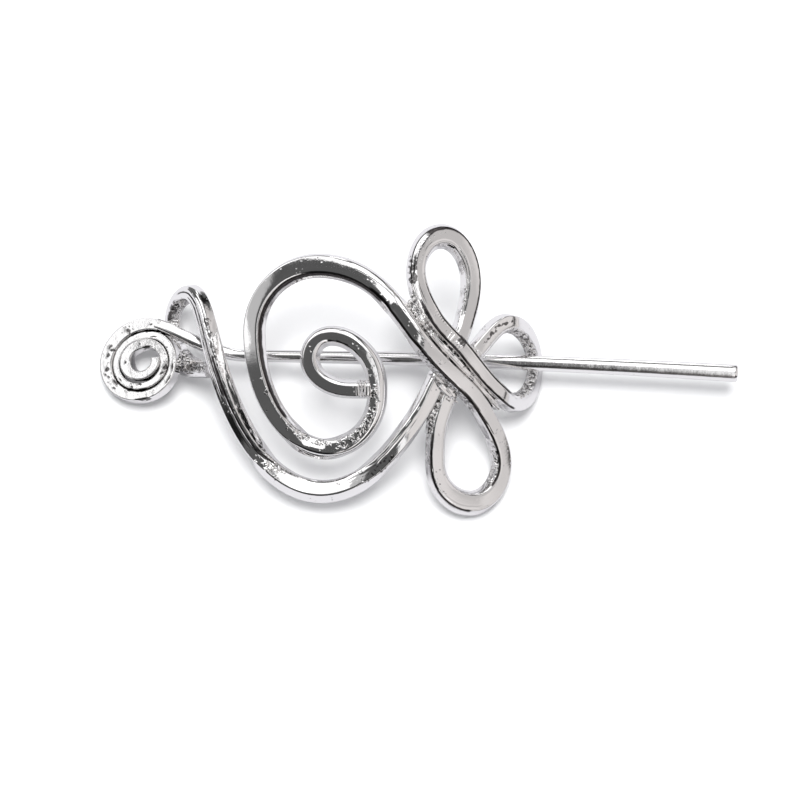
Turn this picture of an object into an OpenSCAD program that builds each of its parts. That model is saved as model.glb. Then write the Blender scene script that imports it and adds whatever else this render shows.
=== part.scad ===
// Two-piece hair stick: an openwork domed slide, bent from one cast strand,
// and a tapered stick with a flat spiral head that passes through it.
// Both lie on a table as they do when taken off. Sizes are in millimetres.

/* [Strand of the slide] */
// Thickness of the strand from its flat face to its back
strand_t = 2.3; // [1.8:0.1:2.6]
// Share of the strand's width that its flat face takes
face_share = 0.54; // [0.4:0.02:0.7]
// Longest step between two cross-sections along the strand
ring_gap = 2.2; // [1.6:0.2:4]

/* [Dome of the slide] */
// Height of the crown above the two bent-down ends
crown_h = 16.9; // [14:0.1:18]
// Drop from the crown to the upper and lower edges
edge_drop = 2.8; // [0:0.2:4]
// Angle at which the slide leans on the table, towards its lower edge
lean = 19; // [16:1:22]

/* [Stick] */
// Radius of the shank beside the head
neck_r = 1.1; // [0.9:0.05:1.2]
// Radius of the shank at its blunt tip
tip_r = 1.65; // [1.3:0.05:1.7]
// Height of the shank's underside above the table
under_h = 4.9; // [4.8:0.1:5.2]
// Sideways bow of the shank
bow = 0.6; // [0:0.1:1]

/* [Spiral head] */
// Radius of the outermost turn's middle line, where it starts
head_r = 7.8; // [7:0.1:8.2]
// Distance from one turn to the next
head_pitch = 2.75; // [2.4:0.05:2.8]
// Number of turns
head_turns = 2; // [1.5:0.05:2.1]
// Width of a turn
turn_w = 3; // [2.75:0.05:3.2]
// Thickness of the head
head_t = 2.2; // [1.8:0.1:2.4]

/* [Hidden] */

// Middle line of the strand, seen square to the slide's face, from the stub
// inside the inner spiral to the end that closes the left loop.
// x and y are in the plane of the face, heading is the direction of travel,
// lift is the height over the domed face, wide is the width of the section.
X = 0;
Y = 1;
HEADING = 2;
LIFT = 3;
WIDE = 4;
STRAND = [
    [-8.5, -3.75, 180, 0, 3.8],
    [-12.5, -3.75, 180, 0, 3.8],
    [-20, 2, 90, 0, 3.9],
    [-16, 6.25, 0, 0, 3.8],
    [-9, 2, -56, 0, 3.9],
    [-7.5, -4.5, -90, 0, 3.9],
    [-16.5, -14.5, 180, 0, 4.2],
    [-30.5, 7, 90, 0, 4.5],
    [-18.5, 19.25, 0, 0, 4.8],
    [-6.5, 14.25, -45, 0.2, 4.4],
    [1, 4.5, -52, 1.05, 4.2],
    [7.25, -2, -42, 1.05, 4.2],
    [12, -7.5, -60, 0.6, 4.2],
    [15.75, -17.25, -90, 0.3, 4.3],
    [10, -24.75, 180, 0.8, 4.9],
    [3.25, -17.25, 90, 0.3, 4.0],
    [4, -9.25, 74, -0.6, 3.9],
    [7, -2, 62, -1.05, 3.9],
    [11.75, 4.5, 50, -0.6, 3.9],
    [17, 8.75, 0, 0, 3.9],
    [22.25, 0.5, -90, 0, 3.9],
    [18.25, -6.25, 180, 0, 3.9],
    [14.5, -3.75, 138, 0.7, 4.0],
    [8.25, 3.5, 130, 1.05, 4.2],
    [2.75, 9.5, 121, 1.05, 4.2],
    [-0.25, 18.25, 90, 0, 3.9],
    [4.5, 24.75, 0, 0, 5],
    [10, 16, -90, 0, 4.1],
    [8.5, 8.25, -107, -0.6, 3.9],
    [5.25, 1.5, -120, -1.05, 3.9],
    [1.75, -5.5, -117, -0.7, 3.9],
    [-3, -12.75, -127, 0, 4.2],
    [-17.75, -22.25, 180, -1.2, 4.6],
    [-29, -16.25, 130, -0.4, 4.4],
    [-36.25, -2.75, 110, 0, 4.2],
    [-39.75, 9, 106, 0, 3.9],
    [-43.25, 14.5, 180, 0, 3.8],
    [-47, 8.75, -90, 0, 3.8],
    [-46.25, 3.5, -80, 0, 3.6],
    [-42.75, 0, 0, -0.6, 3.2],
    [-39, 0, 0, -0.9, 3.2],
];
// The solder that fills the notch below the crossing, in the same columns
NOTCH = [
    [3.5, -6, -110, -1.2, 3],
    [2.75, -9.5, -108, -1.1, 2.5],
    [1.5, -11.75, -112, -1.1, 1.5],
];

// Where the dome's ridge runs, and the reach of its two slopes
ridge_x = -4.25;
left_reach = 42.7;
right_reach = 26.25;
edge_reach = 25;
// The slopes beside the ridge, and how round the ridge is
roof_slope = 0.17;
roof_skew = 0.11;
ridge_round = 6;
// How sharply the two ends turn down
left_power = 5;
right_power = 7;
// The right end is this much higher than the left one
right_less = 2.75;

function unit(v) = v / norm(v);
function along(a, b, t) = a + (b - a) * t;
function ease(t) = t * t * (3 - 2 * t);
function middle(points) = [for (p = points) 1] * points / len(points);

// The domed face: a roof with a round ridge, whose ends turn down, and which
// falls a little towards its upper and lower edges
function roof(t) = roof_slope * (sqrt(t * t + ridge_round * ridge_round) - ridge_round) + roof_skew * t;
function left_end(t) = (crown_h - roof(-left_reach)) * pow(max(0, -t) / left_reach, left_power);
function right_end(t) =
    (crown_h - right_less - roof(right_reach)) * pow(max(0, t) / right_reach, right_power);
function fall(t) = roof(t) + left_end(t) + right_end(t);
function dome(x, y) = crown_h - fall(x - ridge_x) - edge_drop * (1 - cos(180 * y / edge_reach)) / 2;
function dome_up(x, y) = unit([
    dome(x - 0.1, y) - dome(x + 0.1, y),
    dome(x, y - 0.1) - dome(x, y + 0.1),
    0.2
]);

// A span between two rows is a cubic curve, and a quarter turn comes out as
// a quarter of an ellipse
function turn(a, b) = abs((b[HEADING] - a[HEADING] + 540) % 360 - 180);
function handle(a, b) = turn(a, b) < 1 ? 1 / 3 : 4 / 3 * tan(turn(a, b) / 4) / sin(turn(a, b));
function flat(row) = [row[X], row[Y]];
function ahead(row) = [cos(row[HEADING]), sin(row[HEADING])];
function pull(row, chord, k) = ahead(row) * (chord * ahead(row)) * k;
function cubic(p, t) =
    p[0] * pow(1 - t, 3) + p[1] * 3 * t * pow(1 - t, 2) + p[2] * 3 * t * t * (1 - t) + p[3] * pow(t, 3);
function corners(a, b) = let (chord = flat(b) - flat(a), k = handle(a, b)) [
    flat(a),
    flat(a) + pull(a, chord, k),
    flat(b) - pull(b, chord, k),
    flat(b)
];
function steps(a, b) = max(2, ceil(norm(flat(b) - flat(a)) * 1.08 / ring_gap), ceil(turn(a, b) / 10));

// Stations of the strand: [x, y, lift, wide]
function stations(rows) = [
    for (i = [0:len(rows) - 2])
        let (a = rows[i], b = rows[i + 1], n = steps(a, b), p = corners(a, b))
            for (j = [0:n - 1])
                let (t = j / n, q = cubic(p, t))
                    [q.x, q.y, along(a[LIFT], b[LIFT], ease(t)), along(a[WIDE], b[WIDE], ease(t))],
    let (last = rows[len(rows) - 1]) [last[X], last[Y], last[LIFT], last[WIDE]]
];

// One cross-section: flat face, round shoulders, sloping sides, flat back
function half_section(wide, face, h) = [
    [wide - 0.35, -h],
    [wide, -h + 0.4],
    [along(face, wide, 0.55), h * 0.45],
    [face + 0.2, h - 0.25],
    [face - 0.2, h]
];
function mirrored(s) = concat(s, [for (i = [len(s) - 1:-1:0]) [-s[i].x, s[i].y]]);
function section(wide) = mirrored(half_section(wide / 2, wide / 2 * face_share, strand_t / 2));

function place(s) = [s.x, s.y, dome(s.x, s.y) + s[2]];
function ring(s, before, after) =
    let (
        dir = unit(place(after) - place(before)),
        side = unit(cross(dir, dome_up(s.x, s.y))),
        up = cross(side, dir)
    )
    [for (q = section(s[3])) place(s) + side * q.x + up * q.y];
function rings(st) = [
    for (i = [0:len(st) - 1]) ring(st[i], st[max(0, i - 1)], st[min(len(st) - 1, i + 1)])
];

// The slide's height on the table follows from its own lowest point
STRAND_RINGS = rings(stations(STRAND));
function tabled_z(p) = p.y * sin(lean) + p.z * cos(lean);
slide_floor = min([for (r = STRAND_RINGS) for (p = r) tabled_z(p)]);

// The stick: the shank's ends along x, its place and direction on the table
shank_x = -32;
tip_x = 59.75;
shank_y = 0.8;
shank_turn = -2.3;
// The head's middle, and how far it tips to its left and lower edges
head_at = [-52, -0.2, 4.5];
// The head is a little wider than high
head_stretch = 1.05;
head_left = 19;
head_low = 9;
// Direction from the head's middle to the start of its outer turn
head_from = 68;
head_step = 9.6;
shank_sides = 14;
shank_steps = 14;
// The bend between head and shank: how far it keeps both directions
neck_pull = 6.5;
neck_steps = 7;

// Both pieces move by this much, so that the origin is the middle of the two
origin_at = [-0.1, -3.65, 0];

// Joins a list of convex cross-sections into one bar. Each length ends in a
// low point inside the next one, so that all of them fuse.
tongue = 0.2;
module length_of(a, b) {
    mid = middle(b);
    tip = mid + tongue * unit(mid - middle(a));
    n = len(a);
    m = len(b);
    hull()
        polyhedron(
            points = concat(a, b, [tip]),
            faces = concat(
                [[for (j = [0:n - 1]) j]],
                [for (j = [0:m - 1]) [n + j, n + (j + 1) % m, n + m]]
            )
        );
}
module bar(list) {
    for (i = [0:len(list) - 2])
        length_of(list[i], list[i + 1]);
}

module slide() {
    color("silver")
        translate(-origin_at - [0, 0, slide_floor])
            rotate([lean, 0, 0])
                union() {
                    bar(STRAND_RINGS);
                    bar(rings(stations(NOTCH)));
                }
}

// A point of the head: r from its middle, in direction a, h over its mid plane
function tip_left(p) =
    let (s = sin(head_left), c = cos(head_left)) [p.x * c - p.z * s, p.y, p.x * s + p.z * c];
function tip_low(p) =
    let (s = sin(head_low), c = cos(head_low)) [p.x, p.y * c - p.z * s, p.y * s + p.z * c];
function head_point(r, a, h) = head_at + tip_low(tip_left([r * cos(a) * head_stretch, r * sin(a), h]));
function head_radius(a) = head_r - head_pitch * (a - head_from) / 360;
function turn_section() = mirrored(half_section(turn_w / 2, turn_w * 0.2, head_t / 2));
function head_ring(a) = [for (q = turn_section()) head_point(head_radius(a) + q.x, a, q.y)];
HEAD_RINGS = [for (a = [head_from:head_step:head_from + head_turns * 360]) head_ring(a)];

// The shank: round sections whose undersides lie on one straight line
function shank_r(t) = along(neck_r, tip_r, t);
function shank_point(t) = [
    along(shank_x, tip_x, t),
    shank_y + along(0, tip_x - shank_x, t) * tan(shank_turn) + bow * 4 * t * (1 - t),
    under_h + shank_r(t)
];
function round_ring(p, dir, r) =
    let (side = unit(cross(dir, [0, 0, 1])), up = cross(side, dir))
    [for (i = [0:shank_sides - 1]) let (a = 360 * i / shank_sides) p + r * (side * cos(a) + up * sin(a))];
SHANK_RINGS = [
    for (i = [0:shank_steps])
        let (t = i / shank_steps) round_ring(shank_point(t), [1, 0, 0], shank_r(t))
];

// The neck: an easy bend from the shank into the head's outer turn
neck_start = shank_point(0);
neck_end = head_point(head_r, head_from, 0);
neck_heading = unit(head_point(head_r, head_from + 2, 0) - head_point(head_r, head_from - 2, 0));
shank_heading = unit(neck_start - shank_point(0.05));
NECK = [neck_start, neck_start + neck_pull * shank_heading, neck_end - neck_pull * neck_heading, neck_end];
NECK_RINGS = [
    for (i = [1:neck_steps - 1])
        let (t = i / neck_steps)
            round_ring(cubic(NECK, t), -unit(cubic(NECK, t + 0.02) - cubic(NECK, t - 0.02)), neck_r)
];

module head() {
    bar(HEAD_RINGS);
}

module neck() {
    bar(concat([SHANK_RINGS[0]], NECK_RINGS, [HEAD_RINGS[0]]));
}

module shank() {
    bar(SHANK_RINGS);
}

module stick() {
    color("silver")
        translate(-origin_at) {
            head();
            neck();
            shank();
        }
}

slide();
stick();
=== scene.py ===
# %% [markdown]
# # A plated hair slide and its stick
#
# The object is a two-piece set for holding up a bun: an openwork dome, bent from one
# strand of cast metal, and a tapered stick with a flat spiral head. Both are plated
# mirror-bright over a casting that was never quite smooth.
#
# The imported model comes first. It fixes where each piece is and how big it is, so
# every piece below is built in that frame, and only looks are added to it.

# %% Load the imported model
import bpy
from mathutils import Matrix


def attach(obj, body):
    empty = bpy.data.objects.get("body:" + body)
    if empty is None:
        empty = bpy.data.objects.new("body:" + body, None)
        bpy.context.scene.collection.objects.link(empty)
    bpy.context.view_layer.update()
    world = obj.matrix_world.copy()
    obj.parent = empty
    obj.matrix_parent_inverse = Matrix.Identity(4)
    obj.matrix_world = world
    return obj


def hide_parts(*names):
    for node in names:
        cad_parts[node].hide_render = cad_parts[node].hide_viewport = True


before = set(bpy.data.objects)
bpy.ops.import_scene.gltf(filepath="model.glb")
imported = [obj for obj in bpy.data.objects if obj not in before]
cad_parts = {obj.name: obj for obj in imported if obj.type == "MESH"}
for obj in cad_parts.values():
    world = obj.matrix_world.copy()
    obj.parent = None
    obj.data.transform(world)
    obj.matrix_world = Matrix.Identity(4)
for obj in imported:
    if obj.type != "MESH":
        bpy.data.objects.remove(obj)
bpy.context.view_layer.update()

# %% [markdown]
# ## Millimetres
#
# Blender works in metres, and jewellery is measured in millimetres. Sizes below are in
# millimetres, and `MM` turns them into metres where they meet Blender. Only names that
# end in `_M` are in metres already.

# %% Modules and units
import math
import bpy
import numpy as np
from mathutils import Vector

MM = 0.001
print("one millimetre in Blender's metres:", MM)

# %% [markdown]
# ## The camera
#
# The set lies on a table and the camera looks down on it. The slide doesn't lie flat:
# it leans on its lower loop and its two bent-down ends, by 19 degrees, and the camera
# looks square at its face. So the camera is tipped by the same angle, and stands 417 mm
# away, where a 100 mm lens takes in 150 mm, the whole set with a margin around it.

# %% Camera
LEAN = 19
CAMERA_AT = (-3.28, -139.39, 398.25)
LENS, SENSOR = 100, 36
NEAREST_M, FURTHEST_M = 0.01, 20
bpy.ops.object.camera_add(location=[v * MM for v in CAMERA_AT], rotation=(math.radians(LEAN), 0, 0))
camera = bpy.context.object
camera.data.lens, camera.data.sensor_width = LENS, SENSOR
camera.data.clip_start, camera.data.clip_end = NEAREST_M, FURTHEST_M
bpy.context.scene.camera = camera
print("camera height above the table, mm:", CAMERA_AT[2])

# %% [markdown]
# ## Shader maths as plain expressions
#
# A material is a small program made of nodes. Wired by hand, even `1 - mask * 0.5`
# takes two nodes and their links. The class `Wire` wraps a node's output, so that adding
# or multiplying wires adds the Math node that does it. `Recipe.node` makes any other
# node: its settings are set first, then its inputs are filled with numbers or wires.
#
# Most sockets are found by name. Those of the Math, Vector Math and Mix nodes are found
# by number, because several sockets of such a node share a name.

# %% Wires and recipes
MIX_SHARE, MIX_A, MIX_B, MIXED = 0, 6, 7, 2


class Wire:
    """An output socket that takes part in sums like a number."""

    def __init__(self, recipe, socket):
        self.recipe, self.socket = recipe, socket

    def calc(self, operation, *values):
        return self.recipe.node("ShaderNodeMath", {"operation": operation}, dict(enumerate(values)))

    def __add__(self, other):
        return self.calc("ADD", self, other)

    def __sub__(self, other):
        return self.calc("SUBTRACT", self, other)

    def __rsub__(self, other):
        return self.calc("SUBTRACT", other, self)

    def __mul__(self, other):
        return self.calc("MULTIPLY", self, other)

    __radd__ = __add__
    __rmul__ = __mul__

    def sine(self):
        return self.calc("SINE", self)

    def rise(self, low, high):
        """0 below low, 1 above high, and a smooth step between them. It falls if high is lower."""
        settings = {"interpolation_type": "SMOOTHSTEP", "clamp": True}
        inputs = {"Value": self, "From Min": low, "From Max": high, "To Min": 0.0, "To Max": 1.0}
        return self.recipe.node("ShaderNodeMapRange", settings, inputs)


class Recipe:
    """The node tree of one material or of the world."""

    def __init__(self, owner):
        owner.use_nodes = True
        self.tree = owner.node_tree
        self.tree.nodes.clear()

    def node(self, kind, settings=None, inputs=None, output=0):
        made = self.tree.nodes.new(kind)
        for key, value in (settings or {}).items():
            setattr(made, key, value)
        for key, value in (inputs or {}).items():
            if isinstance(value, Wire):
                self.tree.links.new(value.socket, made.inputs[key])
            else:
                made.inputs[key].default_value = value
        return Wire(self, made.outputs[output] if made.outputs else None)

    def vector(self, operation, inputs, output="Vector"):
        return self.node("ShaderNodeVectorMath", {"operation": operation}, inputs, output)

    def mix_colour(self, share, a, b):
        inputs = {MIX_SHARE: share, MIX_A: a, MIX_B: b}
        return self.node("ShaderNodeMix", {"data_type": "RGBA"}, inputs, MIXED)

    def noise(self, place, scale, detail=2.0, roughness=0.5):
        inputs = {"Vector": place, "Scale": scale, "Detail": detail, "Roughness": roughness}
        return self.node("ShaderNodeTexNoise", {"noise_dimensions": "3D"}, inputs)


print("shader maths is ready")

# %% [markdown]
# ## A white table
#
# Bright metal has hardly a colour of its own: it shows what stands around it. Steep
# flanks of the strand mirror the table, so the table has two looks. To the eye it is
# white all over. In the metal's mirror image it has a painted tone, a painted
# reflection: pale lilac grey around the set and to its right, darker than the white
# that the eye sees, and dark further off, like a sheet of paper in a room. Two objects
# could do this, but one material that knows which rays are mirrored needs no second table.
#
# A real studio sheet is curved up behind the object, so that no horizon shows. Here the
# far table glows a little instead, which joins it to the white sky in a low view.

# %% Table
TABLE_M, TABLE_UNDER_M = 4, 0.0001
SPECKLE_SCALE = 900.0
PALE, PALER = (0.9, 0.9, 0.905, 1), (0.92, 0.92, 0.92, 1)
SHEET, BEYOND_SHEET = (0.58, 0.575, 0.595, 1), (0.05, 0.05, 0.05, 1)
SHEET_SQUEEZE = (0.5, 1, 1)
NO_GLOW, FAR_GLOW = (0, 0, 0, 1), (0.55, 0.55, 0.55, 1)
SHEET_EDGE_M, EAST_EDGE_M, GLOW_EDGE_M = (0.12, 0.19), (0.08, 0.12), (0.2, 1.0)

bpy.ops.mesh.primitive_plane_add(size=TABLE_M, location=(0, 0, -TABLE_UNDER_M))
table = bpy.context.object
table.name = "table"
white = bpy.data.materials.new("white_table")
paint = Recipe(white)
where = paint.node("ShaderNodeTexCoord", output="Object")
mirrored = paint.node("ShaderNodeLightPath", output="Is Glossy Ray")
away = paint.vector("LENGTH", {0: paint.vector("MULTIPLY", {0: where, 1: SHEET_SQUEEZE})}, "Value")
to_the_east = paint.node("ShaderNodeSeparateXYZ", None, {0: where}, "X").rise(*EAST_EDGE_M)
paper = paint.mix_colour(paint.noise(where, SPECKLE_SCALE), PALE, PALER)
# Painted reflection: mirrored rays see the table lilac grey near the set and near black further off, darker
# than the white that the eye sees.
painted_sheet_reflection = paint.mix_colour(away.rise(*SHEET_EDGE_M) * (1 - to_the_east), SHEET, BEYOND_SHEET)
far_glow = paint.mix_colour(away.rise(*GLOW_EDGE_M) * (1 - mirrored), NO_GLOW, FAR_GLOW)
surface = paint.node("ShaderNodeBsdfPrincipled", None, {
    "Base Color": paint.mix_colour(mirrored, paper, painted_sheet_reflection), "Roughness": 0.7,
    "Emission Color": far_glow, "Emission Strength": 1.0})
paint.node("ShaderNodeOutputMaterial", None, {"Surface": surface})
table.data.materials.append(white)
print("table side, m:", TABLE_M)

# %% [markdown]
# ## The soft light
#
# The shadows in the photograph are wide and soft, and fall a little towards the viewer:
# the light was one large softbox, just behind the zenith. A sun lamp would cast sharper
# and parallel shadows, so it is a round area light here. The metal doesn't mirror it,
# because the sky that is painted next holds all that the metal mirrors.

# %% Softbox
LIGHT_TILT, LIGHT_AWAY_M, LIGHT_WIDE_M, LIGHT_POWER = 7, 0.9, 0.56, 8.4
LIGHT_FROM = Vector((0, math.sin(math.radians(LIGHT_TILT)), math.cos(math.radians(LIGHT_TILT))))
bpy.ops.object.light_add(type="AREA", location=LIGHT_FROM * LIGHT_AWAY_M)
softbox = bpy.context.object
softbox.name = "softbox"
softbox.rotation_euler = LIGHT_FROM.to_track_quat("Z", "Y").to_euler()
softbox.data.shape = "DISK"
softbox.data.size = LIGHT_WIDE_M
softbox.data.energy = LIGHT_POWER
softbox.visible_glossy = False
print("light from", [round(v, 2) for v in LIGHT_FROM])

# %% [markdown]
# ## A sky painted by direction
#
# The metal mirrors a whole room, but the room itself needn't be built. A mirror image
# depends mostly on the direction in which the mirrored ray leaves, so the room can be
# painted onto the sky: for each direction, how bright it is.
#
# `north`, `east` and `height` say how far a direction points to the top of the picture,
# to its right and straight up, from -1 to 1.

# %% Directions in the sky
world = bpy.data.worlds.new("studio")
bpy.context.scene.world = world
bpy.context.scene.view_settings.view_transform = "Standard"
sky = Recipe(world)
aim = sky.node("ShaderNodeTexCoord", output="Generated")
TOWARDS_TOP = (0, math.cos(math.radians(LEAN)), math.sin(math.radians(LEAN)))
TOWARDS_RIGHT, UPWARDS = (1, 0, 0), (0, 0, 1)
north, east, height = (sky.vector("DOT_PRODUCT", {0: aim, 1: d}, "Value")
                       for d in (TOWARDS_TOP, TOWARDS_RIGHT, UPWARDS))
west = east * -1
print("top of the picture, as a direction:", [round(v, 2) for v in TOWARDS_TOP])

# %% [markdown]
# ## Walls and lamps
#
# Faces that look at the camera mirror the dark room around it. Faces turned a little
# aside mirror the walls and lamps beside it, and they are what gives each stretch of
# the strand its own tone. Each wall or lamp is a patch with soft borders: how bright it
# is, and for each border a direction, where the light begins along it and where it is
# full. A border whose light is full at the lower number lights what lies below.

# %% Lit patches of the sky
def patch(bright, *borders):
    """The light of a patch, from its brightness and its borders."""
    for direction, begins, full in borders:
        bright = direction.rise(begins, full) * bright
    return bright


ROOM, ROOM_CLOUDS, CLOUD_SCALE = 0.07, 0.05, 3.0
WALL, WALL_SOUTH_MORE, WALL_LOW_SOUTH_LESS, WALL_LOW_NORTH_MORE = 0.45, 0.2, 0.1, 0.2

southern = north.rise(0.15, -0.1)
wall_tone = (WALL + southern * (WALL_SOUTH_MORE - east.rise(0.6, 0.75) * WALL_LOW_SOUTH_LESS)
             + (1 - southern) * east.rise(0.62, 0.72) * WALL_LOW_NORTH_MORE)
by_the_tip = patch(1, (east, 0.03, 0.06), (east, 0.22, 0.15))
wall_east = patch(wall_tone, (east - north * 0.35, 0.25, 0.31))
wall_west = patch(0.42, (west, 0.4, 0.46), (north, 0.02, 0.2))
lamp_west = patch(0.65, (west, 0.655, 0.675), (west, 0.88, 0.8), (north, 0.05, 0.2))
lamp_low = patch(0.5, (west, 0.8, 0.84), (west, 0.97, 0.95), (north, -0.35, -0.2))
box_north = patch(1.1, (north + east * 0.2, 0.36, 0.39), (east, 0.42, 0.34), (east, -0.8, -0.62))
glow_south = patch(0.9, (north, -0.9, -0.3)) * by_the_tip
room = ROOM + sky.noise(aim, CLOUD_SCALE) * ROOM_CLOUDS
lit = room + wall_east + wall_west + lamp_west + lamp_low + box_north + glow_south
print("tone of the dark room:", ROOM)

# %% [markdown]
# ## The dark line at the horizon
#
# Between the walls and the table runs a dark ring. The strand's rounded corners sweep
# past it, and it draws the black lines along their edges. Its top stands lower in the
# east and higher in the south. A narrow sector of the sky, `by_the_tip`, is what the
# stick's shank mirrors: there the ring ends lower and is paler in the south, and starts
# and ends higher in the north, which sets where the dark lines along the shank lie.

# %% Dark ring
RING_TOP, RING_EAST_LESS, RING_SOUTH_MORE, RING_SOFT = 0.4, 0.26, 0.2, 0.08
TIP_NORTH_MORE, TIP_SOUTH_LESS = 0.3, 0.15
RING_DARK, TIP_SOUTH_PALER = 0.9, 0.25

high_ring = by_the_tip * north.rise(0.0, 0.3)
ring_top = RING_TOP - east.rise(0.3, 0.6) * RING_EAST_LESS + north.rise(-0.35, -0.55) * RING_SOUTH_MORE
ring_top = ring_top + high_ring * TIP_NORTH_MORE - by_the_tip * north.rise(0.0, -0.3) * TIP_SOUTH_LESS
low_east = patch(1, (east, 0.8, 0.9), (height, 0.12, 0.06))
ring = height.rise(ring_top + RING_SOFT, ring_top) * (1 - high_ring * height.rise(0.36, 0.3)) * (1 - low_east)
tone = lit * (1 - ring * (RING_DARK - by_the_tip * north.rise(0.0, -0.2) * TIP_SOUTH_PALER))
print("height of the ring's top, from -1 to 1:", RING_TOP)

# %% [markdown]
# ## One sky for the metal, one for the table, one for the eye
#
# A scene has only one world, but a path tracer knows what each ray is for, so this one
# world can look three ways. Mirrored rays see the painted room, faintly pink where the
# east wall is. The table gets a plain cool light from all sides, which sets how dark
# the shadows are. The camera itself sees pure white.

# %% Light for each kind of ray
AMBIENT = 0.64
COOL, CLEAR, PINK, WHITE = (0.965, 0.975, 1, 1), (0.99, 0.99, 1, 1), (1, 0.965, 0.96, 1), (1, 1, 1, 1)
seen = sky.node("ShaderNodeLightPath", output="Is Camera Ray")
glossy = sky.node("ShaderNodeLightPath", output="Is Glossy Ray")
tone = glossy * tone + (1 - glossy) * AMBIENT
tone = seen + (1 - seen) * tone
tint = sky.mix_colour(glossy, COOL, sky.mix_colour(wall_east * 2, CLEAR, PINK))
tint = sky.mix_colour(seen, tint, WHITE)
glow = sky.node("ShaderNodeBackground", None, {"Color": tint, "Strength": tone})
sky.node("ShaderNodeOutputWorld", None, {"Surface": glow})
print("nodes in the sky:", len(world.node_tree.nodes))

# %% [markdown]
# ## The plated metal
#
# The plate is nearly colourless and very smooth, but the casting under it is not. Three
# kinds of unevenness are everywhere: slow waves a few millimetres long from the
# hand-worked model, orange peel of half a millimetre, and single pits in places. Four
# kinds are only where the piece says so, by an attribute in its vertices: the `crust`
# of the solder, beads from the casting, marked `fleck`, file marks, marked `ripple`,
# and long folds, marked `crease`. They could be modelled, but they are too fine for
# that. So each is a height in millimetres, the heights are added up, and one Bump node
# turns the sum into tilted normals.
#
# The colour is darker in the pits, between the lumps and on the marked patches. The
# black lines along some edges, marked `line`, are painted dark reflections: they stand
# for the dark ring that a rounded edge mirrors. Ripples and folds follow the strand by
# its attributes `along` and `across`, in millimetres.

# %% Tones and sizes of the metal
PLATE = (0.93, 0.92, 0.915)
# The black shares colour the painted dark reflections along the edges.
DARK_SHARES, PAINTED_EDGE_SHARES = (0.17, 0.165, 0.165), (0.07, 0.065, 0.065)
RIPPLE_TURN, FOLD_TURN = 10.5, 9.0  # radians of the sine wave in one millimetre
RIPPLE_BEND, FOLD_BEND = 0.8, 0.5  # how far the waves shift the sine wave, in millimetres
RIPPLE_H, FOLD_H, BEAD_H, CRUST_H, CRUST_PEEL_H = 0.045, 0.04, 0.2, 0.45, 0.06

# each noise by its scale, how many finer layers it has, and how strong they are
WAVES, ORANGE_PEEL, GRIT = (0.45, 1.0, 0.5), (2.4, 2.0, 0.6), (1.6, 0.8, 0.5)
RAGGED, PITTED = (0.8, 2.0, 0.6), (0.35, 1.0, 0.5)
PIT_CELLS, PIT_EDGE, PITTED_EDGE = 1.3, (0.26, 0.1), (0.5, 0.7)
HOLLOW_EDGE, LINE_EDGE = (0.52, 0.38), (0.3, 0.45)


def plate_toned(shares=(1, 1, 1)):
    """The plate's colour, with red, green and blue cut to their shares."""
    return (*(channel * share for channel, share in zip(PLATE, shares)), 1)


print("dark plate, red green blue:", [round(v, 2) for v in plate_toned(DARK_SHARES)[:3]])

# %% [markdown]
# ## From noises to metal
#
# A noise lies between 0 and 1 and is mostly near 0.5, so the two numbers of a `rise`
# choose how much of the surface a kind covers, and how soft its borders are.
#
# A mark that ended at a straight border would look painted on. So `torn` adds noise to
# the mark before it asks where the sum is large enough, which tears the border and lets
# a weak mark show in patches only.

# %% Plated metal
def torn(mark, noise, least, soft, fade, weight=1):
    """Where mark and noise add up to more than least, with a soft edge, and never off the mark."""
    return (mark * weight + noise - least).rise(0.0, soft) * mark.rise(0.0, fade)


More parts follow.
